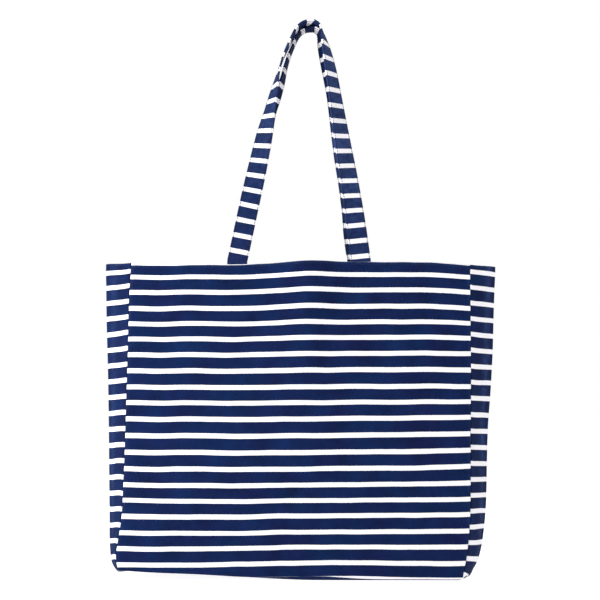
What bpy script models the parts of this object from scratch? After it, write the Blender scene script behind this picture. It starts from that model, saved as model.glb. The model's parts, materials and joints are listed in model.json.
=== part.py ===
"""Striped canvas tote bag with two shoulder handles, standing on its base.

The frame is in metres: +X to the bag's right as it is looked at, +Y to its back, +Z up, and the origin
at the centre of the base's underside. The body is sewn from five cloths: a front panel, a back panel, a
base and two gussets. The mouth is half closed, so each panel leans inwards and each gusset folds out
along its middle in a crease.

As the mouth opens, the front and back panels tilt on their bottom seams, and each handle swings on the
rim that it is sewn to. The parent empties of these pieces stand on those four axes.
"""

import math

import bmesh
import bpy
from mathutils import Matrix

# Driving dimensions: the body
PANEL_WIDTH = 0.421
BODY_HEIGHT = 0.388
BASE_DEPTH = 0.100
MOUTH_DEPTH = 0.0724
CLOTH = 0.0010
GAP = 0.0003

# The hem inside the rim, and the binding tapes of the inside seams
FACING_HEIGHT = 0.027
PANEL_FACING_INSET = 0.003
GUSSET_FACING_REACH = 0.90
BINDING_WIDTH = 0.009
BINDING_THICKNESS = 0.0016
BINDING_INSET = 0.0012
SEAM_CLEARANCE = 0.0006
GUSSET_ROWS = 9

# The handles: one strap each, whose two ends are sewn inside the hem
STRAP_WIDTH = 0.025
STRAP_THICKNESS = 0.0024
STRAP_SPACING = 0.1535
STRAP_END = 0.026
STRAP_FOOT = 0.0022
HINGE_RISE = 0.0005
HANDLE_RISE = 0.3110
HANDLE_NESTING = 0.0055
HANDLES_APART = 0.012

# Worked out from them
PANEL_LEAN = math.atan((BASE_DEPTH - MOUTH_DEPTH) / 2 / BODY_HEIGHT)
PANEL_LENGTH = BODY_HEIGHT / math.cos(PANEL_LEAN)
HEM_THICKNESS = 2 * CLOTH + GAP
STRAP_Y = HEM_THICKNESS + GAP + STRAP_THICKNESS / 2
HANDLE_LEAN = math.atan(((MOUTH_DEPTH - HANDLES_APART) / 2 - STRAP_Y) / HANDLE_RISE)

# The front handle's arch in its own plane, as Bezier points. Each has its place across the bag, its
# height as a share of the handle's rise, its direction in degrees clockwise from upright, the lengths of
# its two arms as shares of the rise, and how far the strap has turned there, from facing the front (0) to
# facing up and outwards (90). The last value is whether the back handle, which lies inside the front
# one, is nested there.
ARCH = (
    (-STRAP_SPACING / 2, 0.000, 12.0, (0.10, 0.45), 0, False),
    (-0.0145, 0.895, 25.0, (0.20, 0.060), 86, True),
    (0.0160, 1.000, 90.0, (0.060, 0.042), 90, True),
    (0.0345, 0.915, 166.5, (0.048, 0.30), 74, True),
    (STRAP_SPACING / 2, 0.000, 173.8, (0.30, 0.10), 0, False),
)
ARCH_STEPS = 10


def clear_scene():
    """Removes whatever objects the file holds."""
    for obj in list(bpy.data.objects):
        bpy.data.objects.remove(obj)


def material(name, colour, roughness):
    """A matt material of one colour."""
    mat = bpy.data.materials.new(name)
    mat.use_nodes = True
    shader = mat.node_tree.nodes["Principled BSDF"]
    shader.inputs["Base Color"].default_value = (*colour, 1.0)
    shader.inputs["Roughness"].default_value = roughness
    shader.inputs["Metallic"].default_value = 0.0
    return mat


def place(obj, mat, parent=None):
    """Gives a piece its own copy of its material, its parent and its place in the bag's collection."""
    own = mat.copy()
    own.name = obj.name
    obj.data.materials.append(own)
    obj.parent = parent
    bpy.data.collections["tote_bag"].objects.link(obj)
    return obj


def empty(name, location, rotation=(0.0, 0.0, 0.0), parent=None):
    """An empty that stands on a joint's axis."""
    obj = bpy.data.objects.new(name, None)
    obj.location = location
    obj.rotation_euler = rotation
    obj.parent = parent
    obj.empty_display_size = 0.03
    bpy.data.collections["tote_bag"].objects.link(obj)
    return obj


def box(name, low, high, mat, parent=None):
    """A box between its lowest and highest corner in the parent's frame."""
    size = [b - a for a, b in zip(low, high)]
    centre = [(a + b) / 2 for a, b in zip(low, high)]
    mesh = bpy.data.meshes.new(name)
    bm = bmesh.new()
    bmesh.ops.create_cube(bm, size=1.0, matrix=Matrix.LocRotScale(centre, None, size))
    bm.to_mesh(mesh)
    bm.free()
    return place(bpy.data.objects.new(name, mesh), mat, parent)


def solidify(obj, thickness, offset=0.0):
    """Turns an open surface into cloth. offset moves it along its normals, in half thicknesses."""
    modifier = obj.modifiers.new("Cloth", "SOLIDIFY")
    modifier.thickness = thickness
    modifier.offset = offset
    modifier.use_even_offset = True


def base_parts(canvas, tape):
    """The base, which the bag stands on, and the binding tapes of its four seams."""
    half_x = PANEL_WIDTH / 2
    half_y = BASE_DEPTH / 2 - CLOTH - GAP
    box("base_panel", (-half_x, -half_y, 0), (half_x, half_y, CLOTH), canvas)

    low = CLOTH + GAP
    high = low + BINDING_THICKNESS
    reach = half_x - BINDING_INSET
    outer = BASE_DEPTH / 2 - CLOTH - SEAM_CLEARANCE
    inner = outer - BINDING_WIDTH
    box("base_front_seam_binding", (-reach, -outer, low), (reach, -inner, high), tape)
    box("base_back_seam_binding", (-reach, inner, low), (reach, outer, high), tape)
    side = inner - SEAM_CLEARANCE
    near = reach - BINDING_WIDTH
    box("base_left_seam_binding", (-reach, -side, low), (-near, side, high), tape)
    box("base_right_seam_binding", (near, -side, low), (reach, side, high), tape)


def gusset_point(across, height):
    """A point of the right gusset's middle surface.

    across runs from -1 at the front seam through 0 at the crease to 1 at the back seam. Each half keeps
    the width it was cut to, so the crease stands out further where the panels lean closer together."""
    half_width = (BASE_DEPTH - CLOTH) / 2
    seam = half_width - height * math.tan(PANEL_LEAN)
    crease = math.sqrt(half_width**2 - seam**2)
    x = PANEL_WIDTH / 2 + GAP + CLOTH / 2 + crease * (1 - abs(across))
    return x, seam * across, height


def gusset_strip(name, sign, levels, reach, offset, canvas):
    """A cloth on the gusset's surface through the given levels, out to a share reach of each half.

    sign is 1 for the right gusset and -1 for the left one. offset is as in solidify, outwards."""
    columns = (-reach, 0.0, reach)
    bpy.ops.mesh.primitive_grid_add(x_subdivisions=len(columns) - 1, y_subdivisions=len(levels) - 1)
    obj = bpy.context.object
    bpy.context.collection.objects.unlink(obj)
    obj.name = obj.data.name = name
    for index, vertex in enumerate(obj.data.vertices):
        row, column = divmod(index, len(columns))
        x, y, z = gusset_point(columns[column], levels[row])
        vertex.co = (sign * x, sign * y, z)
    solidify(obj, CLOTH, offset)
    place(obj, canvas)


def gusset_parts(hand, sign, canvas):
    """A side gusset, and the hem's facing inside its rim."""
    facing_low = BODY_HEIGHT - FACING_HEIGHT
    levels = [max(GAP, facing_low * (row / GUSSET_ROWS) ** 2) for row in range(GUSSET_ROWS + 1)]
    gusset_strip(f"{hand}_gusset", sign, levels + [BODY_HEIGHT], 1.0, 0.0, canvas)
    inwards = -2 * (CLOTH + GAP) / CLOTH
    facing_levels = (facing_low, BODY_HEIGHT)
    gusset_strip(f"{hand}_rim_facing", sign, facing_levels, GUSSET_FACING_REACH, inwards, canvas)


def panel_parts(side, mirror, foot, canvas, tape):
    """A front or back panel with all that is sewn to it, upright in the frame of its foot.

    There y is 0 on the outer face and grows inwards. mirror is 1 where the foot's x runs with the bag's
    x, and -1 where it runs against it."""
    half = PANEL_WIDTH / 2
    box(f"{side}_panel", (-half, 0, GAP), (half, CLOTH, PANEL_LENGTH), canvas, foot)

    inner_face = CLOTH + GAP
    edge = half - PANEL_FACING_INSET
    facing_low = PANEL_LENGTH - FACING_HEIGHT
    box(
        f"{side}_rim_facing",
        (-edge, inner_face, facing_low),
        (edge, HEM_THICKNESS, PANEL_LENGTH),
        canvas,
        foot,
    )

    binding_face = inner_face + BINDING_THICKNESS
    binding_low = binding_face + 2 * SEAM_CLEARANCE
    binding_high = facing_low - SEAM_CLEARANCE
    binding_x = half - BINDING_INSET - BINDING_WIDTH / 2
    strap_low = STRAP_Y - STRAP_THICKNESS / 2
    strap_high = STRAP_Y + STRAP_THICKNESS / 2
    for hand, sign in (("left", -mirror), ("right", mirror)):
        x = sign * binding_x
        box(
            f"{side}_{hand}_seam_binding",
            (x - BINDING_WIDTH / 2, inner_face, binding_low),
            (x + BINDING_WIDTH / 2, binding_face, binding_high),
            tape,
            foot,
        )
        x = sign * STRAP_SPACING / 2
        box(
            f"{side}_{hand}_strap_end",
            (x - STRAP_WIDTH / 2, strap_low, PANEL_LENGTH - STRAP_END),
            (x + STRAP_WIDTH / 2, strap_high, PANEL_LENGTH - GAP),
            canvas,
            foot,
        )


def arch_curve(name, mirror, nesting):
    """The middle surface of a handle's strap, as a ribbon drawn in the XY plane with +Z to the outside."""
    curve = bpy.data.curves.new(name, "CURVE")
    curve.dimensions = "3D"
    curve.twist_mode = "Z_UP"
    curve.resolution_u = ARCH_STEPS
    curve.extrude = STRAP_WIDTH / 2
    spline = curve.splines.new("BEZIER")
    spline.tilt_interpolation = "EASE"
    spline.bezier_points.add(len(ARCH) - 1)
    for point, (x, height, direction, arms, turned, nested) in zip(spline.bezier_points, ARCH):
        angle = math.radians(direction)
        along_x = math.sin(angle)
        along_y = math.cos(angle)
        inwards = nesting if nested else 0.0
        place_x = mirror * (x + inwards * along_y)
        place_y = height * HANDLE_RISE - inwards * along_x
        arm_in = arms[0] * HANDLE_RISE
        arm_out = arms[1] * HANDLE_RISE
        point.co = (place_x, place_y, 0)
        point.handle_left_type = "FREE"
        point.handle_right_type = "FREE"
        point.handle_left = (place_x - mirror * along_x * arm_in, place_y - along_y * arm_in, 0)
        point.handle_right = (place_x + mirror * along_x * arm_out, place_y + along_y * arm_out, 0)
        point.tilt = mirror * math.radians(90 - turned)
    return curve


def handle_part(side, mirror, nesting, foot, canvas):
    """A handle's strap above the rim, on the axis that it swings about."""
    axis_y = HEM_THICKNESS / 2
    axis = empty(f"{side}_handle_axis", (0, axis_y, PANEL_LENGTH + HINGE_RISE), parent=foot)
    strap = bpy.data.objects.new(f"{side}_handle", arch_curve(f"{side}_handle", mirror, nesting))
    strap.location = (0, STRAP_Y - axis_y, STRAP_FOOT)
    strap.rotation_euler = (math.pi / 2 - (HANDLE_LEAN - PANEL_LEAN), 0, 0)
    solidify(strap, STRAP_THICKNESS)
    place(strap, canvas, axis)


def main():
    clear_scene()
    bpy.context.scene.collection.children.link(bpy.data.collections.new("tote_bag"))
    canvas = material("striped_canvas", (0.030, 0.045, 0.120), 0.9)
    tape = material("cotton_tape", (0.030, 0.035, 0.080), 0.9)

    base_parts(canvas, tape)
    gusset_parts("left", -1, canvas)
    gusset_parts("right", 1, canvas)
    for side, mirror, nesting in (("front", 1, 0.0), ("back", -1, HANDLE_NESTING)):
        turn = 0.0 if mirror == 1 else math.pi
        foot = empty(f"{side}_panel_axis", (0, -mirror * BASE_DEPTH / 2, 0), (-PANEL_LEAN, 0, turn))
        panel_parts(side, mirror, foot, canvas, tape)
        handle_part(side, mirror, nesting, foot, canvas)


main()
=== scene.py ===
"""The looks of the striped canvas tote bag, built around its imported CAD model.

The frame is the CAD's: metres, +X to the bag's right, +Y to its back, +Z up, the base on z = 0. Every cloth
is a thin closed solid about a middle surface, with its own coordinates in metres in the UV layer "cloth":
u runs along the stripes and v across them, so that stripes and weave follow the cut of each piece.
"""

import json
import math

import bpy
import numpy as np
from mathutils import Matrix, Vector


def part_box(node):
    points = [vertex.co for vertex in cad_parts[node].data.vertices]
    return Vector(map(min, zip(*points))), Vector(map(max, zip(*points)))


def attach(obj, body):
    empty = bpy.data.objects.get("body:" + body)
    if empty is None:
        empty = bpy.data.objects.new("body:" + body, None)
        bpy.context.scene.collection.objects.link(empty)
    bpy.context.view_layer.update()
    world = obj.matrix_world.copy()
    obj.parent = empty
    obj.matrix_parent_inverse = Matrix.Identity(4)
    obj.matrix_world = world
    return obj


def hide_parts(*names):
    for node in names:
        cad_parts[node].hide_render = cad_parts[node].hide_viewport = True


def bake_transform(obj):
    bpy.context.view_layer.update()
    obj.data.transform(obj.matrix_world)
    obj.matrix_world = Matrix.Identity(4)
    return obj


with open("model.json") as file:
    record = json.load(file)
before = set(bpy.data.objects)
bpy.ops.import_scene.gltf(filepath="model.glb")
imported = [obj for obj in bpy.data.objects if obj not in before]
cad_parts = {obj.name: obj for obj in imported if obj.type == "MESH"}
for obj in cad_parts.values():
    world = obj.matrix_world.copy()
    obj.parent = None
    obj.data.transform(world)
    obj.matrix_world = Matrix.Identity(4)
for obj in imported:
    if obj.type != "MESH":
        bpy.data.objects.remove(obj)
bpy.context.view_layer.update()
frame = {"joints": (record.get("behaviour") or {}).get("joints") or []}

# The bag's places, from the CAD frame
panel_low, panel_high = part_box("front_panel")
handle_low, handle_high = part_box("front_handle")
HALF_WIDTH = panel_high.x
RIM = panel_high.z
BASE_Y = -panel_low.y
CAD_CLOTH = 0.001
LEAN = (BASE_Y + panel_high.y - CAD_CLOTH) / RIM
HANDLE_AXIS = next(j for j in frame["joints"] if j["name"] == "front_handle_swing")["pos_m"]

# The cloth, its stripes and its stitching
THICKNESS = 0.0009
STRIPE = 0.0198
WHITE_SHARE = 0.295
FRONT_STRIPES = 20 - WHITE_SHARE
FOLD_RADIUS = 0.00075
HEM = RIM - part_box("front_rim_facing")[0].z
FOLD_TOP = FOLD_RADIUS + THICKNESS / 2
HEM_ROW = 0.025
EDGE_ROW = 0.0024
STITCH = 0.0033
THREAD = 0.00026
SEAM_GAP = 0.0005
TURN = 0.0016
TURN_STEPS = 5

# The tapes that bind the seams
BINDING_WIDTH = 0.0092
BINDING_THICKNESS = 0.0018

# The handles' straps
STRAP_WIDTH = 0.025
STRAP_THICKNESS = 0.0024
STRAP_TAIL = 0.026
STRAP_BEHIND_AXIS = 0.0027
STRAP_FOOT = 0.0021
STRAP_ROW = 0.0110
STRAP_THREAD = 0.00036
STRAP_STRETCH = 0.9935
HANDLES_APART = 0.012
HANDLE_RISE = 0.311
HANDLE_NESTING = 0.0045

RNG = np.random.default_rng(7)


# ---------------------------------------------------------------- curves and fields


def smooth(points):
    """A function through the given (place, value) points, with no corner at any of them."""
    xs, ys = (np.array(column, float) for column in zip(*points))
    slopes = np.gradient(ys, xs)

    def at(x):
        x = np.clip(np.asarray(x, float), xs[0], xs[-1])
        i = np.clip(np.searchsorted(xs, x, side="right") - 1, 0, len(xs) - 2)
        step = xs[i + 1] - xs[i]
        t = (x - xs[i]) / step
        rise = ys[i + 1] - ys[i]
        a = slopes[i] * step - rise
        b = -slopes[i + 1] * step + rise
        return ys[i] + t * rise + t * (1 - t) * (a * (1 - t) + b * t)

    return at


def ease(x, low, high):
    """0 below low, 1 above high, and a soft step between them."""
    t = np.clip((x - low) / (high - low), 0, 1)
    return t * t * (3 - 2 * t)


def bump(x, centre, width):
    """A soft hump of height 1."""
    return np.exp(-(((x - centre) / width) ** 2))


def wrinkle_field(waves, shortest, longest, upright):
    """A smooth random field of about unit height over two coordinates in metres. upright, from 0 to 1, is
    how much the wrinkles run along the second coordinate."""
    lengths = RNG.uniform(shortest, longest, waves)
    angles = RNG.uniform(-math.pi / 2, math.pi / 2, waves) * (1 - upright)
    phases = RNG.uniform(0, 2 * math.pi, waves)
    kx = 2 * math.pi * np.cos(angles) / lengths
    ky = 2 * math.pi * np.sin(angles) / lengths

    def at(a, b):
        total = sum(np.sin(x * a + y * b + p) for x, y, p in zip(kx, ky, phases))
        return total / math.sqrt(waves)

    return at


# ---------------------------------------------------------------- meshes


def make_object(name, vertices, faces, uvs, material, wear_and_painted_light=None):
    """A mesh object with its cloth coordinates and, where given, how pale each point is, from rubbing and from
    painted light.
    """
    mesh = bpy.data.meshes.new(name)
    mesh.from_pydata(vertices.tolist(), [], faces)
    layer = mesh.uv_layers.new(name="cloth")
    corners = np.empty(len(mesh.loops), np.int32)
    mesh.loops.foreach_get("vertex_index", corners)
    layer.data.foreach_set("uv", np.asarray(uvs, np.float32)[corners].ravel())
    rubbed_and_painted_light = mesh.attributes.new("wear_and_painted_light", "FLOAT", "POINT")
    wear_and_painted_light = np.zeros(len(vertices)) if wear_and_painted_light is None else wear_and_painted_light
    rubbed_and_painted_light.data.foreach_set("value", wear_and_painted_light.astype(np.float32))
    mesh.materials.append(material)
    mesh.shade_smooth()
    mesh.set_sharp_from_angle(angle=math.radians(60))
    mesh.update()
    obj = bpy.data.objects.new(name, mesh)
    bpy.context.scene.collection.objects.link(obj)
    return obj


def unit(vectors):
    """The vectors at length 1."""
    return vectors / np.maximum(np.linalg.norm(vectors, axis=-1, keepdims=True), 1e-12)


def surface_normals(points):
    """Normals of a grid of points, rows up and columns across, facing whoever sees the columns run right."""
    return unit(np.cross(np.gradient(points, axis=1), np.gradient(points, axis=0)))


def strip_faces(a, b):
    """Quads between two rows of vertex indices."""
    return np.stack([a[:-1], a[1:], b[1:], b[:-1]], axis=1)


def grid_faces(index):
    """Quads over a grid of vertex indices."""
    quads = [index[:-1, :-1], index[:-1, 1:], index[1:, 1:], index[1:, :-1]]
    return np.stack(quads, axis=-1).reshape(-1, 4)


def cloth_sheet(name, middle, uv, material, wear_and_painted_light=None, thickness=THICKNESS):
    """A closed thin solid about a grid of middle points."""
    rows, columns = middle.shape[:2]
    normal = surface_normals(middle) * thickness / 2
    outer = np.arange(rows * columns).reshape(rows, columns)
    inner = outer + rows * columns
    rim = np.concatenate([outer[0], outer[1:, -1], outer[-1, -2::-1], outer[-2::-1, 0]])
    faces = [
        grid_faces(outer),
        grid_faces(inner)[:, ::-1],
        strip_faces(rim, rim + rows * columns)[:, ::-1],
    ]
    vertices = np.concatenate([(middle + normal).reshape(-1, 3), (middle - normal).reshape(-1, 3)])
    uvs = np.tile(uv.reshape(-1, 2), (2, 1))
    rubbed_and_painted_light = None if wear_and_painted_light is None else np.tile(wear_and_painted_light.ravel(), 2).astype(np.float32)
    return make_object(name, vertices, np.concatenate(faces).tolist(), uvs, material, rubbed_and_painted_light)


def sweep(name, centre, across, out, profile, along, material, wear_and_painted_light=None):
    """A closed solid with one section swept along a line. centre, across and out are the line's points and
    its two side directions, and profile is the section's outline in them, anticlockwise."""
    stations, sides = len(centre), len(profile)
    points = centre[:, None] + across[:, None] * profile[:, :1] + out[:, None] * profile[:, 1:]
    index = np.arange(stations * sides).reshape(stations, sides)
    ring = np.concatenate([index, index[:, :1]], axis=1)
    start, end = stations * sides, stations * sides + 1
    caps = [[ring[0, i + 1], ring[0, i], start] for i in range(sides)]
    caps += [[ring[-1, i], ring[-1, i + 1], end] for i in range(sides)]
    faces = grid_faces(ring).tolist() + caps
    forward = (np.cross(across, out) * np.gradient(centre, axis=0)).sum()
    if forward < 0:
        faces = [face[::-1] for face in faces]
    vertices = np.concatenate([points.reshape(-1, 3), points[:1].mean(1), points[-1:].mean(1)])
    u = np.tile(profile[:, 0], (stations, 1))
    v = np.tile(along[:, None], (1, sides))
    uvs = np.concatenate([np.stack([u, v], axis=-1).reshape(-1, 2), [[0, along[0]], [0, along[-1]]]])
    rubbed_and_painted_light = None
    if wear_and_painted_light is not None:
        rubbed_and_painted_light = np.append(np.broadcast_to(wear_and_painted_light, (stations, sides)), [0.5, 0.5])
    return make_object(name, vertices, faces, uvs, material, rubbed_and_painted_light)


def arc_length(points):
    """The distance along a line of points, from its first."""
    steps = np.linalg.norm(np.diff(points, axis=0), axis=1)
    return np.concatenate([[0], np.cumsum(steps)])


def resample(spacing, points, *others):
    """The line's points, and what goes with each, at an even spacing."""
    length = arc_length(points)
    count = max(2, int(round(length[-1] / spacing)) + 1)
    at = np.linspace(0, length[-1], count)
    return [np.stack([np.interp(at, length, line[:, k]) for k in range(3)], axis=1) for line in (points, *others)]


def stitches(name, rows, material, thread=THREAD):
    """Machine stitches along rows on a cloth. Each row is a line of points and their normals."""
    around = np.linspace(0, 2 * math.pi, 6, endpoint=False)
    lengths = np.array([-0.46, -0.32, 0.0, 0.32, 0.46]) * STITCH
    radii = np.array([0.35, 0.9, 1.0, 0.9, 0.35]) * thread
    heights = np.array([-0.8, 0.1, 0.5, 0.1, -0.8]) * thread
    one = np.concatenate([np.arange(30).reshape(5, 6), np.arange(30).reshape(5, 6)[:, :1]], axis=1)
    quads = grid_faces(one).tolist()
    ends = [one[0, :6][::-1].tolist(), one[-1, :6].tolist()]
    vertices, faces = [], []
    for points, normals in rows:
        spots, up = resample(STITCH, points, normals)
        along = unit(np.gradient(spots, axis=0))
        up = unit(up - (up * along).sum(1, keepdims=True) * along)
        side = np.cross(up, along)
        middles = (spots[1:] + spots[:-1]) / 2
        for spot, t, n, s in zip(middles, along[:-1], up[:-1], side[:-1]):
            t = unit(t + s * RNG.uniform(-0.05, 0.12))
            first = 30 * len(vertices)
            cores = spot + lengths[:, None] * t + heights[:, None] * n
            ring = np.cos(around)[:, None] * s + np.sin(around)[:, None] * n
            vertices.append((cores[:, None] + ring * radii[:, None, None]).reshape(-1, 3))
            faces += [[first + i for i in face] for face in quads + ends]
    points = np.concatenate(vertices)
    uvs = np.stack([points[:, 0], points[:, 2]], axis=1)
    return make_object(name, points, faces, uvs, material)


def rounded_band(width, thickness, corner, rows=()):
    """The outline of a flat band with soft edges, anticlockwise, pressed in a little at its stitching rows."""
    xs = np.concatenate([
        np.linspace(-width / 2 + corner, width / 2 - corner, 17),
        [place + shift for place in rows for shift in (-0.0007, 0, 0.0007)],
    ])
    xs = np.sort(xs)
    pressed = sum((bump(xs, place, 0.0006) for place in rows), np.zeros(len(xs)))
    top = np.stack([xs, thickness / 2 - 0.00022 * pressed], axis=1)
    angles = np.linspace(math.pi / 2, -math.pi / 2, 7)[1:-1]
    right = np.stack([
        width / 2 - corner + corner * np.cos(angles),
        thickness / 2 * np.sin(angles),
    ], axis=1)
    clockwise = np.concatenate([top, right, (top * [1, -1])[::-1], (right * [-1, 1])[::-1]])
    return clockwise[::-1]


# ---------------------------------------------------------------- materials


class Nodes:
    """Makes and joins the nodes of one material."""

    def __init__(self, name):
        self.material = bpy.data.materials.new(name)
        self.material.use_nodes = True
        self.tree = self.material.node_tree
        self.shader = self.tree.nodes["Principled BSDF"]

    def node(self, kind, inputs=(), **settings):
        """A node with its settings, and its inputs by name or number."""
        node = self.tree.nodes.new(kind)
        for key, value in settings.items():
            setattr(node, key, value)
        for key, value in dict(inputs).items():
            self.join(node.inputs[key], value)
        return node

    def join(self, socket, value):
        """Links a socket to another one, or sets it to a value."""
        if isinstance(value, bpy.types.NodeSocket):
            self.tree.links.new(value, socket)
        else:
            socket.default_value = value

    def math(self, operation, *values):
        """The result of a math node."""
        return self.node("ShaderNodeMath", dict(enumerate(values)), operation=operation).outputs[0]

    def noise(self, vector, scale, detail=2.0, roughness=0.5, stretch=(1, 1, 1)):
        """A noise from 0 to 1, over a vector that is stretched first."""
        at = self.node("ShaderNodeMapping", {0: vector, 3: stretch}).outputs[0]
        inputs = {"Vector": at, "Scale": scale, "Detail": detail, "Roughness": roughness}
        return self.node("ShaderNodeTexNoise", inputs).outputs[0]

    def range(self, value, low, high, to_low, to_high, kind="LINEAR"):
        """A value moved from one range to another."""
        inputs = {0: value, 1: low, 2: high, 3: to_low, 4: to_high}
        return self.node("ShaderNodeMapRange", inputs, interpolation_type=kind).outputs[0]

    def mix(self, factor, a, b, blend="MIX"):
        """Two colours mixed."""
        inputs = {0: factor, 6: a, 7: b}
        return self.node("ShaderNodeMix", inputs, data_type="RGBA", blend_type=blend).outputs[2]

    def bump(self, height, distance, strength, under=None):
        """A bump over another one."""
        inputs = {"Height": height, "Distance": distance, "Strength": strength}
        if under is not None:
            inputs["Normal"] = under
        return self.node("ShaderNodeBump", inputs).outputs[0]

    def cloth(self):
        """The cloth coordinates of a piece: the vector, and its u and v."""
        vector = self.node("ShaderNodeUVMap", uv_map="cloth").outputs[0]
        parts = self.node("ShaderNodeSeparateXYZ", {0: vector})
        return vector, parts.outputs[0], parts.outputs[1]

    def set(self, **values):
        """Sets the shader's own sockets, whose names are written with underscores."""
        for key, value in values.items():
            self.join(self.shader.inputs[key.replace("_", " ")], value)


YARN = 0.00055
NAVY_WARM = (0.0042, 0.0088, 0.0475, 1)
NAVY_COOL = (0.0026, 0.0121, 0.0535, 1)
# Paler navy, mixed in for rubbed folds and edges and for painted light: the straps' lit legs and the gussets' painted
# fold highlights.
NAVY_RUBBED_AND_PAINTED_LIGHT = (0.022, 0.038, 0.112, 1)
WHITE = (0.80, 0.775, 0.785, 1)


def plain_weave(made, vector, u, v):
    """The height of a plain weave, from 0 to 1, with yarns of uneven thickness."""
    waver = made.noise(vector, 120.0, 2.0)
    across = made.math("ADD", made.math("DIVIDE", u, YARN), made.math("MULTIPLY", waver, 1.2))
    up = made.math("ADD", made.math("DIVIDE", v, YARN), made.math("MULTIPLY", waver, 1.2))
    warp = made.math("ABSOLUTE", made.math("SINE", made.math("MULTIPLY", across, math.pi)))
    weft = made.math("ABSOLUTE", made.math("SINE", made.math("MULTIPLY", up, math.pi)))
    cells = made.math("ADD", made.math("FLOOR", across), made.math("FLOOR", up))
    over = made.math("FLOORED_MODULO", cells, 2.0)
    warp_top = made.math("MULTIPLY", warp, made.math("MULTIPLY_ADD", weft, 0.45, 0.55))
    weft_top = made.math("MULTIPLY", weft, made.math("MULTIPLY_ADD", warp, 0.45, 0.55))
    difference = made.math("SUBTRACT", warp_top, weft_top)
    return made.math("MULTIPLY_ADD", over, difference, weft_top)


def canvas_material():
    """Yarn-dyed cotton canvas: navy with narrow white stripes, in a plain weave with soft slubs."""
    made = Nodes("striped_cotton_canvas")
    vector, u, v = made.cloth()
    sway = made.math("MULTIPLY_ADD", made.noise(vector, 22.0, 1.0), 0.0016, -0.0008)
    fray = made.math("MULTIPLY_ADD", made.noise(vector, 900.0, 2.0), 0.0007, -0.00035)
    place = made.math("ADD", v, made.math("ADD", sway, fray))
    turns = made.math("ADD", made.math("DIVIDE", place, STRIPE), 0.5 + WHITE_SHARE / 2)
    phase = made.math("FLOORED_MODULO", turns, 1.0)
    from_middle = made.math("ABSOLUTE", made.math("SUBTRACT", phase, 0.5))
    half = WHITE_SHARE / 2
    white = made.range(from_middle, half - 0.010, half + 0.010, 1.0, 0.0, "SMOOTHSTEP")

    blotch = made.range(made.noise(vector, 30.0, 4.0, 0.6), 0.30, 0.70, 0.74, 1.30)
    weft = made.range(made.noise(vector, 1.0, 2.0, 0.6, (90, 1500, 1)), 0.25, 0.75, 0.86, 1.16)
    warp = made.range(made.noise(vector, 1.0, 2.0, 0.6, (1500, 70, 1)), 0.25, 0.75, 0.90, 1.12)
    tone = made.math("MULTIPLY", made.math("MULTIPLY", blotch, weft), warp)
    weave = plain_weave(made, vector, u, v)
    shaded = made.math("MULTIPLY", tone, made.range(weave, 0.1, 0.9, 0.72, 1.16))

    # The per-point attribute pales the navy: rubbed folds and edges, painted light on the straps and a painted
    # highlight down the gussets' folds.
    rubbed_and_painted_light = made.node("ShaderNodeAttribute", attribute_name="wear_and_painted_light").outputs[2]
    patchy_wear_and_painted_light = made.math("MULTIPLY", rubbed_and_painted_light, made.range(made.noise(vector, 160.0, 3.0), 0.35, 0.65, 0.4, 1.0))
    dye = made.range(made.noise(vector, 16.0, 3.0, 0.6), 0.38, 0.62, 0.0, 1.0)
    navy = made.mix(patchy_wear_and_painted_light, made.mix(dye, NAVY_WARM, NAVY_COOL), NAVY_RUBBED_AND_PAINTED_LIGHT)
    fleck = made.range(made.noise(vector, 1.0, 1.0, 0.5, (1100, 2400, 1)), 0.68, 0.80, 0.0, 0.20)
    navy = made.mix(fleck, navy, (0.06, 0.085, 0.19, 1))
    tinted = made.node("ShaderNodeVectorMath", {0: navy, 1: shaded}, operation="MULTIPLY").outputs[0]

    soft_tone = made.range(shaded, 0.6, 1.4, 0.93, 1.05)
    pale = made.mix(made.range(made.noise(vector, 60.0, 3.0), 0.3, 0.7, 0.0, 1.0), WHITE, (0.76, 0.755, 0.80, 1))
    pale = made.node("ShaderNodeVectorMath", {0: pale, 1: soft_tone}, operation="MULTIPLY").outputs[0]

    crumple = made.bump(made.noise(vector, 75.0, 3.0, 0.55), 0.0011, 0.35)
    slub = made.bump(tone, 0.00012, 0.5, crumple)
    made.set(
        Base_Color=made.mix(white, tinted, pale),
        Roughness=made.range(weave, 0.0, 1.0, 0.95, 0.82),
        Normal=made.bump(weave, 0.00016, 0.7, slub),
        Metallic=0.0,
        Specular_IOR_Level=0.05,
        Sheen_Weight=0.01,
        Sheen_Roughness=0.5,
        Sheen_Tint=(0.6, 0.75, 1.0, 1),
    )
    return made.material


def tape_material():
    """Navy cotton tape in a herringbone twill."""
    made = Nodes("navy_cotton_tape")
    vector, u, v = made.cloth()
    zigzag = made.math("PINGPONG", u, 0.0022)
    slant = made.math("DIVIDE", made.math("ADD", v, zigzag), 0.0008)
    ribs = made.math("ABSOLUTE", made.math("SINE", made.math("MULTIPLY", slant, math.pi)))
    tone = made.range(made.noise(vector, 300.0, 3.0), 0.3, 0.7, 0.8, 1.2)
    shade = made.math("MULTIPLY", tone, made.range(ribs, 0.0, 1.0, 0.7, 1.15))
    colour = made.node("ShaderNodeVectorMath", {0: (0.010, 0.016, 0.055), 1: shade}, operation="MULTIPLY")
    made.set(
        Base_Color=colour.outputs[0],
        Roughness=made.range(ribs, 0.0, 1.0, 0.92, 0.78),
        Normal=made.bump(ribs, 0.00015, 0.8),
        Specular_IOR_Level=0.2,
        Sheen_Weight=0.05,
    )
    return made.material


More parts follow.
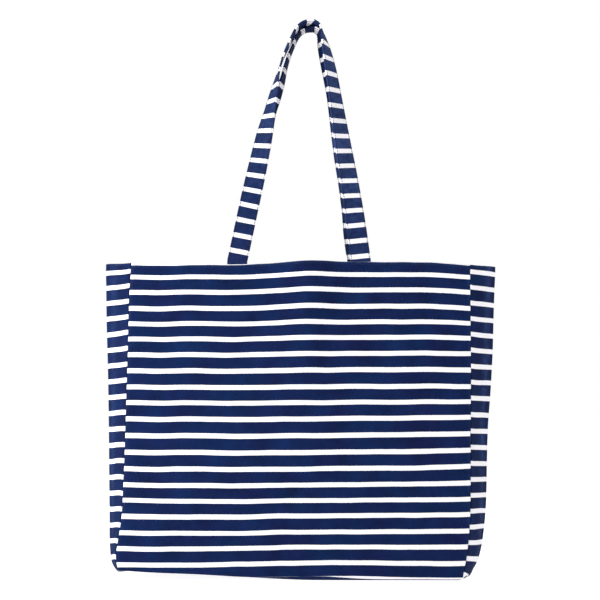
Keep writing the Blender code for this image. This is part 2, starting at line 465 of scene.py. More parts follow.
def thread_material():
    """Twisted navy sewing thread."""
    made = Nodes("navy_thread")
    place = made.node("ShaderNodeTexCoord").outputs["Object"]
    tone = made.range(made.noise(place, 2600.0, 2.0), 0.3, 0.7, 0.6, 1.4)
    colour = made.node("ShaderNodeVectorMath", {0: (0.005, 0.011, 0.046), 1: tone}, operation="MULTIPLY")
    twist = made.node("ShaderNodeTexWave", {"Vector": place, "Scale": 900.0}, bands_direction="DIAGONAL")
    made.set(
        Base_Color=colour.outputs[0],
        Roughness=made.range(tone, 0.6, 1.4, 0.65, 0.5),
        Normal=made.bump(twist.outputs[1], 0.00005, 0.5),
        Specular_IOR_Level=0.1,
    )
    return made.material


def floor_material():
    """A plain, very pale matt floor."""
    made = Nodes("pale_floor")
    place = made.node("ShaderNodeTexCoord").outputs["Object"]
    tone = made.range(made.noise(place, 3.0, 2.0), 0.0, 1.0, 0.0, 1.0)
    made.set(
        Base_Color=made.mix(tone, (0.49, 0.49, 0.50, 1), (0.51, 0.51, 0.52, 1)),
        Roughness=0.9,
        Specular_IOR_Level=0.1,
        Emission_Color=(1.0, 1.0, 1.0, 1),
        Emission_Strength=0.85,
    )
    return made.material


CANVAS = canvas_material()
TAPE = tape_material()
NAVY_THREAD = thread_material()


# ---------------------------------------------------------------- the bag's shape

# Seams and creases as (height, distance across the bag). The bag leans a little to its left as it sags.
SEAM_X = {
    ("front", "left"): smooth([
        (0.000, -0.2155), (0.012, -0.2180), (0.020, -0.2206), (0.028, -0.2216), (0.046, -0.2196),
        (0.070, -0.2162), (0.123, -0.2138), (0.220, -0.2119), (0.290, -0.2109), (0.320, -0.2107),
        (0.347, -0.2104), (0.370, -0.2092), (0.390, -0.2083),
    ]),
    ("front", "right"): smooth([
        (0.000, 0.1972), (0.013, 0.1995), (0.027, 0.2027), (0.046, 0.2052), (0.068, 0.2073),
        (0.100, 0.2087), (0.145, 0.2094), (0.190, 0.2104), (0.270, 0.2118), (0.330, 0.2122),
        (0.390, 0.2126),
    ]),
    ("back", "left"): smooth([(0.000, -0.2080), (0.030, -0.2125), (0.120, -0.2115), (0.390, -0.2090)]),
    ("back", "right"): smooth([(0.000, 0.2010), (0.030, 0.2065), (0.120, 0.2085), (0.390, 0.2115)]),
}
CREASE_X = {
    "left": smooth([
        (0.000, 0.2215), (0.007, 0.2252), (0.013, 0.2299), (0.020, 0.2328), (0.033, 0.2344),
        (0.082, 0.2358), (0.169, 0.2377), (0.256, 0.2402), (0.310, 0.2424), (0.390, 0.2445),
    ]),
    "right": smooth([
        (0.000, 0.2128), (0.008, 0.2150), (0.017, 0.2202), (0.033, 0.2254), (0.052, 0.2289),
        (0.080, 0.2321), (0.144, 0.2348), (0.187, 0.2367), (0.226, 0.2401), (0.281, 0.2438),
        (0.332, 0.2458), (0.390, 0.2487),
    ]),
}
CREASE_RADIUS = 0.0035
BOTTOM_Z = {
    "front": smooth([
        (-0.220, 0.0146), (-0.200, 0.0129), (-0.113, 0.0090), (-0.060, 0.0062), (0.030, 0.0070),
        (0.090, 0.0059), (0.215, 0.0048),
    ]),
    "back": smooth([(-0.220, 0.0060), (-0.100, 0.0045), (0.050, 0.0060), (0.215, 0.0080)]),
}
CREASE_BOTTOM_Z = {"left": 0.0070, "right": 0.0060}
RIM_RISE = {
    "front": smooth([
        (-0.210, -0.0005), (-0.170, -0.0020), (-0.147, -0.0015), (-0.090, -0.0025), (-0.048, -0.0010),
        (0.013, 0.0015), (0.050, 0.0010), (0.120, 0.0008), (0.160, 0.0005), (0.200, -0.0020), (0.212, -0.0030),
    ]),
    "back": smooth([(-0.210, -0.0005), (-0.100, -0.0020), (0.000, 0.0005), (0.100, -0.0010), (0.210, -0.0030)]),
}
CREASE_RIM_RISE = {"left": 0.0020, "right": -0.0015}
HAND = {"left": -1, "right": 1}
SIDE = {"front": -1, "back": 1}

SOFT_FOLDS = {side: wrinkle_field(9, 0.07, 0.16, 0.35) for side in SIDE}
FINE_FOLDS = {side: wrinkle_field(12, 0.022, 0.05, 0.2) for side in SIDE}
PUCKERS = wrinkle_field(10, 0.006, 0.013, 0.0)


def half_depth(z):
    """How far the side seams are from the bag's middle plane."""
    return BASE_Y - LEAN * z


def fullness(side, x, z):
    """How far the front or back stands out from the plane of its seams."""
    up = np.clip(z / RIM, 0, 1)
    across = np.clip(1 - np.abs(x / 0.212) ** 2.6, 0, 1)
    pillow = 0.0085 * np.sin(math.pi * up**0.85)
    folds = 0.0010 * SOFT_FOLDS[side](x, z) * ease(z, 0.0, 0.08) + 0.00022 * FINE_FOLDS[side](x, z)
    if side == "front":
        ridge = 0.0115 * bump(x, 0.013, 0.030) * ease(z, 0.15, 0.34)
        swell = 0.0035 * bump(x, 0.135, 0.045) * ease(z, 0.20, 0.34)
    else:
        ridge = 0.0060 * bump(x, -0.020, 0.060) * ease(z, 0.12, 0.36)
        swell = 0.0030 * bump(x, 0.110, 0.060) * (1 - ease(z, 0.10, 0.26))
    return across * (pillow + ridge + swell + folds)


def hem_relief(along, down):
    """The relief of a hem: pressed in along its two rows of stitches, and a little full between them."""
    pucker = 1 + 0.45 * PUCKERS(along, 0.0 * along)
    rows = bump(down, HEM_ROW, 0.0011) * 0.00030 + bump(down, EDGE_ROW, 0.0008) * 0.00016
    ripple = 0.00016 * PUCKERS(along, 0.3 + 0.0 * along) * bump(down, HEM_ROW, 0.006)
    return 0.00012 * ease(down, 0.002, 0.008) * (1 - ease(down, 0.019, 0.025)) - rows * pucker + ripple


def panel_point(side, share, up):
    """A point of the front or back cloth. share runs from 0 at the bag's left seam to 1 at its right one, and
    up from 0 at the bottom to 1 at the rim."""
    rough_x = -0.214 + 0.423 * share
    low = BOTTOM_Z[side](rough_x)
    high = RIM - FOLD_TOP + RIM_RISE[side](rough_x)
    z = low + (high - low) * up
    left = SEAM_X[side, "left"](z) + SEAM_GAP + TURN
    right = SEAM_X[side, "right"](z) - SEAM_GAP - TURN
    x = left + (right - left) * share
    out = half_depth(z) - THICKNESS / 2 + fullness(side, x, z) + hem_relief(x, high - z)
    return np.stack([x, SIDE[side] * out, z], axis=-1)


def gusset_point(hand, side, share, up):
    """A point of half a side gusset. share runs from 0 at the seam to 1 at the crease."""
    sign = HAND[hand]
    corner_x = sign * 0.21
    along = ease(share, 0, 1)
    low = BOTTOM_Z[side](corner_x) * (1 - along) + CREASE_BOTTOM_Z[hand] * along
    rise = RIM_RISE[side](corner_x) * (1 - along) + CREASE_RIM_RISE[hand] * along
    high = RIM - FOLD_TOP + rise
    z = low + (high - low) * up
    depth = half_depth(z)
    seam = sign * SEAM_X[side, hand](z)
    reach = CREASE_X[hand](z) - THICKNESS / 2 - seam
    y = depth * (1 - share)
    fall = (np.sqrt(y**2 + CREASE_RADIUS**2) - CREASE_RADIUS) / (
        np.sqrt(depth**2 + CREASE_RADIUS**2) - CREASE_RADIUS
    )
    sag = np.sin(math.pi * share) * (0.0016 * np.sin(z * 17 + sign) - 0.0006)
    sag += 0.0004 * FINE_FOLDS[side](y + 0.3 * sign, z) * np.sin(math.pi * share)
    sag += hem_relief(y + 0.5 * sign, high - z)
    x = seam + reach * (1 - fall) + 0.7 * sag
    return np.stack([sign * x, SIDE[side] * (y + 0.7 * sag * np.sin(math.pi * share)), z], axis=-1)


def seam_frame(hand, side, z):
    """At heights up a side seam: its corner point, the directions into the panel and into the gusset, and the
    direction in which both cloths turn in."""
    x = SEAM_X[side, hand](z)
    y = SIDE[side] * half_depth(z)
    corner = np.stack([x, y, z], axis=-1)
    panel = np.zeros_like(corner)
    panel[..., 0] = -HAND[hand]
    gusset = np.stack([HAND[hand] * CREASE_X[hand](z) - x, -y, 0 * z], axis=-1)
    gusset = unit(gusset)
    return corner, panel, gusset, unit(panel + gusset)


def turned_in():
    """An edge's turn into its seam, from outside to inside: what is left to go, and how far in it has gone."""
    turn = np.linspace(0, 1, TURN_STEPS + 1)[1:]
    return TURN * (1 - turn) ** 2, TURN * turn**2


def heights(count, crowded):
    """Shares of a height, crowded together over the last part of it, where the hem is."""
    lower = np.linspace(0, 1 - crowded, count)
    upper = np.linspace(1 - crowded, 1, int(round(crowded * RIM / 0.0011)))
    return np.concatenate([lower, upper[1:]])


ROWS_UP = heights(116, 0.075)


# ---------------------------------------------------------------- the bag's cloths


def hemmed(points, v):
    """Adds the fold over the rim and the facing inside it to a cloth whose last row is at the rim. v is the
    distance below the rim, and runs on below zero over the fold."""
    inward = -surface_normals(points)
    upward = unit(points[-1] - points[-3])
    angles = np.linspace(0, math.pi, 7)[1:-1]
    fold = [
        points[-1] + FOLD_RADIUS * ((1 - math.cos(a)) * inward[-1] + math.sin(a) * upward) for a in angles
    ]
    fold_v = [v[-1] - FOLD_RADIUS * a for a in angles]
    back = int((v < v[-1] + HEM).sum())
    facing = [points[-k] + 2 * FOLD_RADIUS * inward[-k] for k in range(1, back + 1)]
    facing_v = [2 * v[-1] - v[-k] - math.pi * FOLD_RADIUS for k in range(1, back + 1)]
    return np.concatenate([points, fold, facing]), np.concatenate([v, fold_v, facing_v])


def panel_cloth(side):
    """The front or back panel with the hem at its rim, in one cloth."""
    go, turn = turned_in()
    share = np.linspace(0, 1, 128)
    share_grid, up_grid = np.meshgrid(share, ROWS_UP)
    middle = panel_point(side, share_grid, up_grid)
    edges = {}
    for hand, column in (("left", 0), ("right", -1)):
        corner, panel, _, inward = seam_frame(hand, side, middle[:, column, 2])
        shift = (go - TURN)[None, :, None] * panel[:, None] + turn[None, :, None] * inward[:, None]
        edges[hand] = middle[:, column][:, None] + shift
    middle = np.concatenate([edges["left"][:, ::-1], middle, edges["right"]], axis=1)
    width = 2 * HALF_WIDTH * share
    reach = TURN - go + turn
    u = np.concatenate([-reach[::-1], width, width[-1] + reach]) - HALF_WIDTH
    total = FRONT_STRIPES * STRIPE
    below = total * (1 - ROWS_UP)

    low = middle[0]
    inward = unit(np.array([0, -SIDE[side] * 0.75, 0.66]))
    bottom = low[None] + np.array([0, 0, 1])[None, None] * (go - TURN)[:, None, None]
    bottom = bottom + turn[:, None, None] * inward
    middle = np.concatenate([bottom[::-1], middle])
    below = np.concatenate([(total + reach)[::-1], below])

    if side == "back":
        middle, u = middle[:, ::-1], u[::-1]
    middle, v = hemmed(middle, below)
    u_grid, v_grid = np.meshgrid(u, v)
    v_grid = v_grid + stripe_warp(side, u_grid, v_grid)
    # Paler at the rim fold, from rubbing and a painted highlight, and at the side edges, from rubbing.
    wear_and_painted_light = 0.5 * bump(v_grid, 0, 0.0022) + 0.25 * bump(np.abs(u_grid), HALF_WIDTH, 0.002)
    piece = cloth_sheet(f"{side}_panel_cloth", middle, np.stack([u_grid, v_grid], -1), CANVAS, np.clip(wear_and_painted_light, 0, 1))
    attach(piece, side)
    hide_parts(f"{side}_panel", f"{side}_rim_facing")
    return piece


# How far the stripes lie below their even places, in millimetres, by the distance below the rim: all the way
# across, and what the left, the middle and the right of the front add to it.
DROP = smooth([
    (0.000, 0.0), (0.017, -1.3), (0.036, -1.4), (0.056, -0.3), (0.096, -0.5), (0.135, 0.3), (0.155, 1.3),
    (0.185, 1.1), (0.215, 2.2), (0.234, 3.1), (0.274, 3.7), (0.294, 3.2), (0.314, 1.9), (0.334, 2.0),
    (0.353, 0.6), (0.373, -0.1), (0.390, -0.4),
])
LEFT_DROP = smooth([(0.0, 0.0), (0.096, 0.5), (0.195, 1.8), (0.274, 3.8), (0.314, 5.0), (0.373, 8.5), (0.390, 9.0)])
MIDDLE_DROP = smooth([(0.0, 0.0), (0.050, 0.4), (0.080, 1.0), (0.150, 1.6), (0.250, 1.9), (0.390, 2.2)])
RIGHT_CURVE = smooth([
    (0.0, -0.4), (0.040, -0.5), (0.100, -2.0), (0.150, -1.9), (0.180, -3.0), (0.234, -3.4), (0.260, -3.2),
    (0.290, -2.4), (0.330, -2.3), (0.390, -0.7),
])
RIGHT_DROP = smooth([(0.0, 0.0), (0.120, 0.0), (0.180, 0.6), (0.314, 0.5), (0.334, 0.9), (0.353, 1.5), (0.390, 2.0)])
# How far the first stripe sags below the rim at the front's left, in millimetres, by the place across.
RIM_SAG = smooth([(-0.212, 2.3), (-0.185, 1.4), (-0.150, 1.1), (-0.115, 0.4), (-0.090, 0.0), (0.212, 0.0)])
# How far the stripes of a gusset lie below their even places, in millimetres: at its seams, and at its crease.
SEAM_DROP = {
    "left": smooth([
        (0.0, -1.4), (0.030, -2.8), (0.080, -2.3), (0.120, -0.8), (0.160, 0.3), (0.220, 2.5), (0.260, 3.7),
        (0.390, 4.8),
    ]),
    "right": smooth([
        (0.0, -0.7), (0.050, -0.7), (0.090, -0.5), (0.130, 0.4), (0.170, 0.8), (0.210, 2.1), (0.250, 2.9),
        (0.290, 2.5), (0.330, 1.7), (0.360, 0.6), (0.390, 0.2),
    ]),
}
CREASE_DROP = {
    "left": smooth([(0.0, -0.4), (0.030, -1.0), (0.100, -0.4), (0.180, 0.2), (0.250, 1.3), (0.390, 2.0)]),
    "right": smooth([
        (0.0, 0.2), (0.035, 0.9), (0.100, 1.3), (0.160, 2.0), (0.210, 4.4), (0.300, 5.6), (0.360, 5.7),
        (0.375, 7.5), (0.390, 12.0),
    ]),
}


def stripe_warp(side, u, v):
    """How far the weave has been pulled off the straight, across the stripes."""
    left = np.clip((-0.010 - u) / 0.185, 0, 1.1)
    right = np.clip((u - 0.050) / 0.148, 0, 1.1)
    if side == "back":
        return -0.0006 * np.sin(u * 11) * np.sin(v * 9)
    drop = DROP(v) + LEFT_DROP(v) * left + 1.7 * left**3 * ease(v, 0.0, 0.016)
    drop = drop + RIGHT_CURVE(v) * right**3 + RIGHT_DROP(v) * right
    drop = drop + 1.3 * bump(left, 0.6, 0.3) * ease(v, 0.25, 0.30) + MIDDLE_DROP(v) * bump(u, 0.018, 0.045)
    return -0.001 * (drop * ease(v, 0.0, 0.012) + RIM_SAG(u) * (1 - ease(v, 0.003, 0.014)))


# A painted highlight down the soft fold of each gusset half, stronger on the right.
PAINTED_FOLD_HIGHLIGHT = {"left": 0.4, "right": 0.8}


def gusset_half(hand, side):
    """Half of a side gusset, from its crease to its seam, with the hem at its rim."""
    go, turn = turned_in()
    share = np.sin(np.linspace(0, 1, 24) * math.pi / 2) ** 1.2
    first = 0.035
    share = first + (1 - first) * share
    share_grid, up_grid = np.meshgrid(share, ROWS_UP)
    middle = gusset_point(hand, side, share_grid, up_grid)
    corner, _, gusset, inward = seam_frame(hand, side, middle[:, 0, 2])
    steps = (go + SEAM_GAP)[None, :, None] * gusset[:, None] + turn[None, :, None] * inward[:, None]
    edge = corner[:, None] + steps
    middle = np.concatenate([edge[:, ::-1], middle], axis=1)
    across = BASE_Y * np.concatenate([np.zeros(TURN_STEPS), share])
    u = (BASE_Y - across) * HAND[hand] * SIDE[side]
    if (hand == "right") != (side == "front"):
        middle, u = middle[:, ::-1], u[::-1]
    offset = 0.0052 if hand == "left" else 0.0082
    total = RIM * (1 - ROWS_UP)
    middle, v = hemmed(middle, total)
    u_grid, v_grid = np.meshgrid(u, v)
    to_crease = 1 - np.abs(u_grid) / BASE_Y
    drop = SEAM_DROP[hand](v_grid) * (1 - to_crease) + CREASE_DROP[hand](v_grid) * to_crease
    v_grid = v_grid - 0.001 * drop
    # Paler at the rim fold (rubbing and a painted highlight), along the crease (rubbing) and down each half's soft
    # fold (a painted highlight).
    wear_and_painted_light = 0.5 * bump(v_grid, 0, 0.0022) + 0.4 * bump(u_grid, 0, 0.003) + PAINTED_FOLD_HIGHLIGHT[hand] * bump(np.abs(u_grid), 0.017, 0.007)
    uv = np.stack([u_grid, v_grid + offset], -1)
    piece = cloth_sheet(f"{hand}_gusset_{side}_half", middle, uv, CANVAS, np.clip(wear_and_painted_light, 0, 1))
    blend_gusset(piece)
    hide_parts(f"{hand}_gusset", f"{hand}_rim_facing")
    return piece


def blend_gusset(piece):
    """Bakes a gusset piece's placement into its mesh."""
    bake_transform(piece)


def edge_x(hand, y, z):
    """Where the base's short edge is, under the gusset's bottom."""
    side_name = np.where(y < 0, "front", "back")
    share = 1 - np.abs(y) / half_depth(z)
    result = np.empty_like(y)
    for side in SIDE:
        at = side_name == side
        points = gusset_point(hand, side, np.clip(share[at], 0, 1), np.zeros(at.sum()))
        result[at] = points[:, 0]
    return result


CURL = 0.010
BASE_HALF_DEPTH = 0.0492
BASE_FLOOR = THICKNESS / 2 + 0.0001


def curl(distance):
    """How far an edge has curled up at a distance from it, from 1 at the edge to 0."""
    return 1 - np.sqrt(1 - np.clip(1 - distance / CURL, 0, 1) ** 2)


def base_ends(y):
    """Where the base begins at the bag's left and ends at its right."""
    level = 0.008 + 0 * y
    return edge_x("left", y, level) + SEAM_GAP, edge_x("right", y, level) - SEAM_GAP


def base_height(x, y):
    """How high the base's middle surface lies: on the floor, curled up to its seams, and lifted as a whole at
    the bag's left."""
    left, right = base_ends(y)
    front = BOTTOM_Z["front"](x) - SEAM_GAP - BASE_FLOOR
    back = BOTTOM_Z["back"](x) - SEAM_GAP - BASE_FLOOR
    curled = front * curl(y + BASE_HALF_DEPTH) + back * curl(BASE_HALF_DEPTH - y)
    straight = front + (back - front) * np.clip(0.5 + 0.5 * y / BASE_HALF_DEPTH, 0, 1)
    lifted = 1 - ease(x, -0.10, 0.02)
    rise = curled * (1 - lifted) + straight * lifted

    at = ease(np.abs(y) / BASE_HALF_DEPTH, 0, 1)
    ends = {}
    for hand in HAND:
        corners = [BOTTOM_Z[side](np.array(0.21 * HAND[hand])) for side in ("front", "back")]
        corner = np.where(y < 0, *corners)
        ends[hand] = CREASE_BOTTOM_Z[hand] * (1 - at) + corner * at - SEAM_GAP - BASE_FLOOR
    near_left = 1 - ease(x - left, 0, 0.03)
    rise = rise * (1 - near_left) + ends["left"] * near_left
    return BASE_FLOOR + np.maximum(rise, ends["right"] * curl(right - x))


def base_cloth():
    """The base, flat on the floor and curled up to its four seams."""
    near = CURL * np.linspace(0, 1, 10) ** 1.4
    depth = BASE_HALF_DEPTH
    y = np.concatenate([-depth + near, np.linspace(-depth + CURL, depth - CURL, 26)[1:-1], (depth - near)[::-1]])
    share = np.concatenate([near / 0.42, np.linspace(CURL / 0.42, 1 - CURL / 0.42, 120)[1:-1], 1 - near[::-1] / 0.42])
    left, right = base_ends(y)
    x = left[:, None] + (right - left)[:, None] * share[None]
    y = np.tile(y[:, None], (1, len(share)))
    z = base_height(x, y)
    middle = np.stack([x, y, z], axis=-1)
    from_seam = y + depth + np.clip(BOTTOM_Z["front"](x) - z, 0, 1) * (y < 0)
    first_white = 0.0142 + 0.0058 * (1 - ease(x, 0.0, 0.10))
    uv = np.stack([x, from_seam + first_white], axis=-1)
    # Paler where the base curls up towards its seams.
    wear_and_painted_light = np.clip(z / 0.006, 0, 1) * 0.25
    piece = cloth_sheet("base_cloth", middle[:, ::-1], uv[:, ::-1], CANVAS, wear_and_painted_light[:, ::-1])
    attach(piece, "base")
    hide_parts("base_panel")
    return piece


# ---------------------------------------------------------------- seams and stitching


def surface_row(point, shares, ups):
    """A row of points on a cloth's outer face, with their normals, from the function that shapes it."""
    step = 0.002
    here = point(shares, ups)
    across = point(shares + step, ups) - point(shares - step, ups)
    upward = point(shares, ups) - point(shares, ups - step)
    return here, unit(np.cross(across, upward))


def hem_rows(point, outward, shares, tall):
    """The hem's two rows on both faces of the cloths: the edge row and the row that holds the facing."""
    rows = []
    for down in (EDGE_ROW, HEM_ROW):
        points, normals = surface_row(point, shares, 1 - down / tall + 0 * shares)
        normals = normals * np.sign((normals * outward).sum(-1, keepdims=True))
        rows.append((points + normals * THICKNESS / 2, normals))
        rows.append((points - normals * (THICKNESS / 2 + 2 * FOLD_RADIUS), -normals))
    return rows


def panel_stitches(side):
    """The hem's rows across a panel."""
    shares = np.linspace(0.002, 0.998, 400)
    rows = hem_rows(lambda s, u: panel_point(side, s, u), np.array([0, SIDE[side], 0]), shares, RIM)
    for hand, x in strap_feet(side).items():
        rows += tail_rows(side, x)
    piece = stitches(f"{side}_hem_stitching", rows, NAVY_THREAD)
    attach(piece, side)


def gusset_stitches(hand, side):
    """The hem's rows across half a gusset."""
    shares = np.linspace(0.05, 0.985, 60)
    outward = np.array([HAND[hand], SIDE[side], 0])
    rows = hem_rows(lambda s, u: gusset_point(hand, side, s, u), outward, shares, RIM)
    piece = stitches(f"{hand}_{side}_gusset_stitching", rows, NAVY_THREAD)
    blend_gusset(piece)


def binding(side, hand):
    """The folded tape over a side seam's allowances, lying on the panel inside, with its row of stitches."""
    z = np.linspace(0.016, RIM - HEM - 0.001, 90)
    sign = HAND[hand]
    near = SEAM_X[side, hand](z) - sign * 0.0012
    wander = 0.0004 * np.sin(z * 60 + sign) + 0.0003 * np.sin(z * 173)
    x = near - sign * (0.0045 + wander)
    out = half_depth(z) + fullness(side, x, z) - THICKNESS - 0.0013
    centre = np.stack([x, SIDE[side] * out, z], axis=-1)
    tilt = 0.20 + 0.05 * np.sin(z * 41)
    across = np.stack([-sign * np.cos(tilt), -SIDE[side] * np.sin(tilt), 0 * z], axis=-1)
    inward = np.stack([sign * np.sin(tilt), -SIDE[side] * np.cos(tilt), 0 * z], axis=-1)
    profile = rounded_band(BINDING_WIDTH, BINDING_THICKNESS, 0.0008, rows=(0.0020,))
    name = f"{side}_{hand}_seam_binding"
    piece = sweep(f"{name}_tape", centre, across, inward, profile, arc_length(centre), TAPE)
    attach(piece, side)
    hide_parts(name)
    row = centre + across * 0.0020 + inward * 0.00080
    thread = stitches(f"{name}_stitching", [(row, inward)], NAVY_THREAD)
    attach(thread, side)


def base_binding(name, start, end, inward):
    """The folded tape over one of the base's seams, lying on the base. start and end are its middle line's
    ends, and inward is the way to the base's middle."""
    steps = np.linspace(0, 1, 80)[:, None]
    line = np.array(start) + (np.array(end) - np.array(start)) * steps
    inward = np.array(inward)
    inner, outer = (line + inward * way * BINDING_WIDTH / 2 for way in (1, -1))
    inner, outer = (np.column_stack([edge, base_height(*edge.T)]) for edge in (inner, outer))
    centre = (inner + outer) / 2
    across = unit(inner - outer)
    along = unit(np.gradient(centre, axis=0))
    up = np.cross(along, across)
    up *= np.sign(up[:, 2:])
    centre = centre + up * (THICKNESS / 2 + BINDING_THICKNESS / 2 + 0.0001 + 0.0002 * np.sin(steps * 55) ** 2)
    profile = rounded_band(BINDING_WIDTH, BINDING_THICKNESS, 0.0008, rows=(0.0020,))
    piece = sweep(f"{name}_tape", centre, across, up, profile, arc_length(centre), TAPE)
    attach(piece, "base")
    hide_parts(name)
    row = centre + across * 0.0020 + up * (BINDING_THICKNESS / 2 - 0.0001)
    thread = stitches(f"{name}_stitching", [(row, up)], NAVY_THREAD)
    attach(thread, "base")


# ---------------------------------------------------------------- the handles

# A strap's line in the plane of its handle, as Bezier points: place across the bag, height as a share of the
# handle's rise, direction in degrees clockwise from upright, the lengths of the two arms as shares of the
# rise, and whether the back handle, which lies inside the front one, is nested there.
ARCH = (
    (-0.07675, 0.000, 12.0, (0.10, 0.45), False),
    (-0.0145, 0.895, 25.0, (0.20, 0.060), True),
    (0.0160, 1.000, 90.0, (0.060, 0.042), True),
    (0.0345, 0.915, 166.5, (0.048, 0.30), True),
    (0.07675, 0.000, 173.8, (0.30, 0.10), False),
)
# How far the strap has turned from facing the front, in degrees, by its height as a share of the rise.
TURNED_LEFT = smooth([
    (0.0, 0), (0.30, 2), (0.38, 12), (0.45, 23), (0.52, 32), (0.62, 55), (0.71, 67), (0.77, 79), (0.83, 84),
    (0.90, 87), (1.0, 90),
])
TURNED_RIGHT = smooth([
    (0.0, 0), (0.10, 8), (0.20, 13), (0.31, 22), (0.44, 29), (0.56, 38), (0.70, 48), (0.84, 57), (0.90, 66),
    (0.94, 76), (1.0, 90),
])
# How far the back strap is to the right of the front one, by its height as a share of the rise.
BACK_SHIFT = {
    "left": smooth([
        (0.0, -0.0045), (0.40, -0.0042), (0.60, -0.0038), (0.65, -0.0034), (0.71, -0.0005), (0.77, 0.0018),
        (0.83, 0.0006), (0.90, -0.0008), (0.96, 0.0), (1.0, 0.0),
    ]),
    "right": smooth([
        (0.0, -0.0008), (0.07, -0.0018), (0.14, -0.0018), (0.22, 0.0000), (0.31, 0.0008), (0.44, 0.0015),
        (0.56, 0.0027), (0.66, 0.0038), (0.74, 0.0037), (0.81, 0.0026), (0.87, 0.0014), (0.94, 0.0), (1.0, 0.0),
    ]),
}
# How far a leg of both straps bends to the right of its even curve, by its height as a share of the rise.
SWAY = {
    "left": smooth([
        (0.0, 0), (0.13, 0), (0.26, 0.0004), (0.36, 0.0012), (0.46, 0.0017), (0.58, 0.0020), (0.70, 0.0020),
        (0.77, 0.0010), (0.84, 0), (1.0, 0),
    ]),
    "right": smooth([
        (0.0, 0), (0.12, -0.0004), (0.24, -0.0013), (0.35, -0.0022), (0.47, -0.0036), (0.62, -0.0039),
        (0.78, -0.0024), (0.90, -0.0011), (1.0, 0),
    ]),
}
# How far a strap's stripes have slipped towards its right end, by the length left to that end.
STRIPE_SLIP = {
    "front": smooth([
        (0.0, 0.0026), (0.04, 0.0026), (0.08, 0.0031), (0.12, 0.0042), (0.17, 0.0046), (0.21, 0.0052),
        (0.24, 0.0045), (0.27, 0.0028), (0.30, 0.0006), (0.33, 0.0), (0.38, 0.0), (0.80, 0.0),
    ]),
    "back": smooth([(0.0, -0.0106), (0.15, -0.0106), (0.28, -0.0104), (0.36, -0.0070), (0.44, -0.0041), (0.80, -0.0041)]),
}


def strap_feet(side):
    """Where a handle's two ends cross the rim. The back one's are sewn a little further to the left."""
    off = side == "back"
    return {hand: ARCH[-(hand == "right")][0] + off * float(BACK_SHIFT[hand](0)) for hand in HAND}


def arch_line(side):
    """The strap's middle line in its plane, from its left foot over the top to its right one."""
    nesting = HANDLE_NESTING if side == "back" else 0.0
    knots = []
    for x, height, direction, arms, nested in ARCH:
        angle = math.radians(direction)
        along = np.array([math.sin(angle), math.cos(angle)])
        inward = nesting * nested * np.array([math.cos(angle), -math.sin(angle)])
        place = np.array([x, height * HANDLE_RISE]) + inward
        knots.append((place - along * arms[0] * HANDLE_RISE, place, place + along * arms[1] * HANDLE_RISE))
    t = np.linspace(0, 1, 60)[:, None]
    pieces = []
    for (_, a, b), (c, d, _) in zip(knots[:-1], knots[1:]):
        curve = a * (1 - t) ** 3 + 3 * b * t * (1 - t) ** 2 + 3 * c * t**2 * (1 - t) + d * t**3
        pieces.append(curve[:-1])
    return np.concatenate(pieces + [knots[-1][1][None]])


